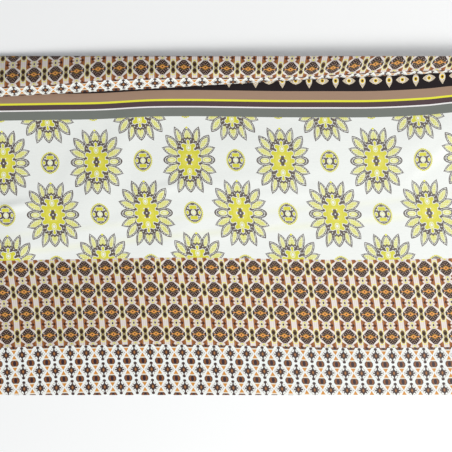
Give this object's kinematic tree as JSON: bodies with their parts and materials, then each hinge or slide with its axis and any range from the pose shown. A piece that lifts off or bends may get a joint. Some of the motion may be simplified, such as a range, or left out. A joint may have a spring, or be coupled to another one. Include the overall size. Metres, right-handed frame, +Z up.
{
  "type": "folded cut of printed viscose fabric",
  "caption": "Length of printed viscose cloth laid flat with one soft fold across it near the back edge.",
  "frame": {"origin": "on the table under the middle of the laid cloth's outline", "axes": "+X along the printed bands, +Y from the front cut edge towards the fold, +Z up"},
  "size_m": [0.5901, 0.3393, 0.0183],
  "materials": {
    "fabric": "smooth plain-woven viscose with a soft sheen, printed in bands on one side, paler on the reverse"
  },
  "bodies": {
    "root": {"main_stretch": "fabric", "tucked_layer": "fabric", "upper_stretch": "fabric"}
  },
  "joints": []
}
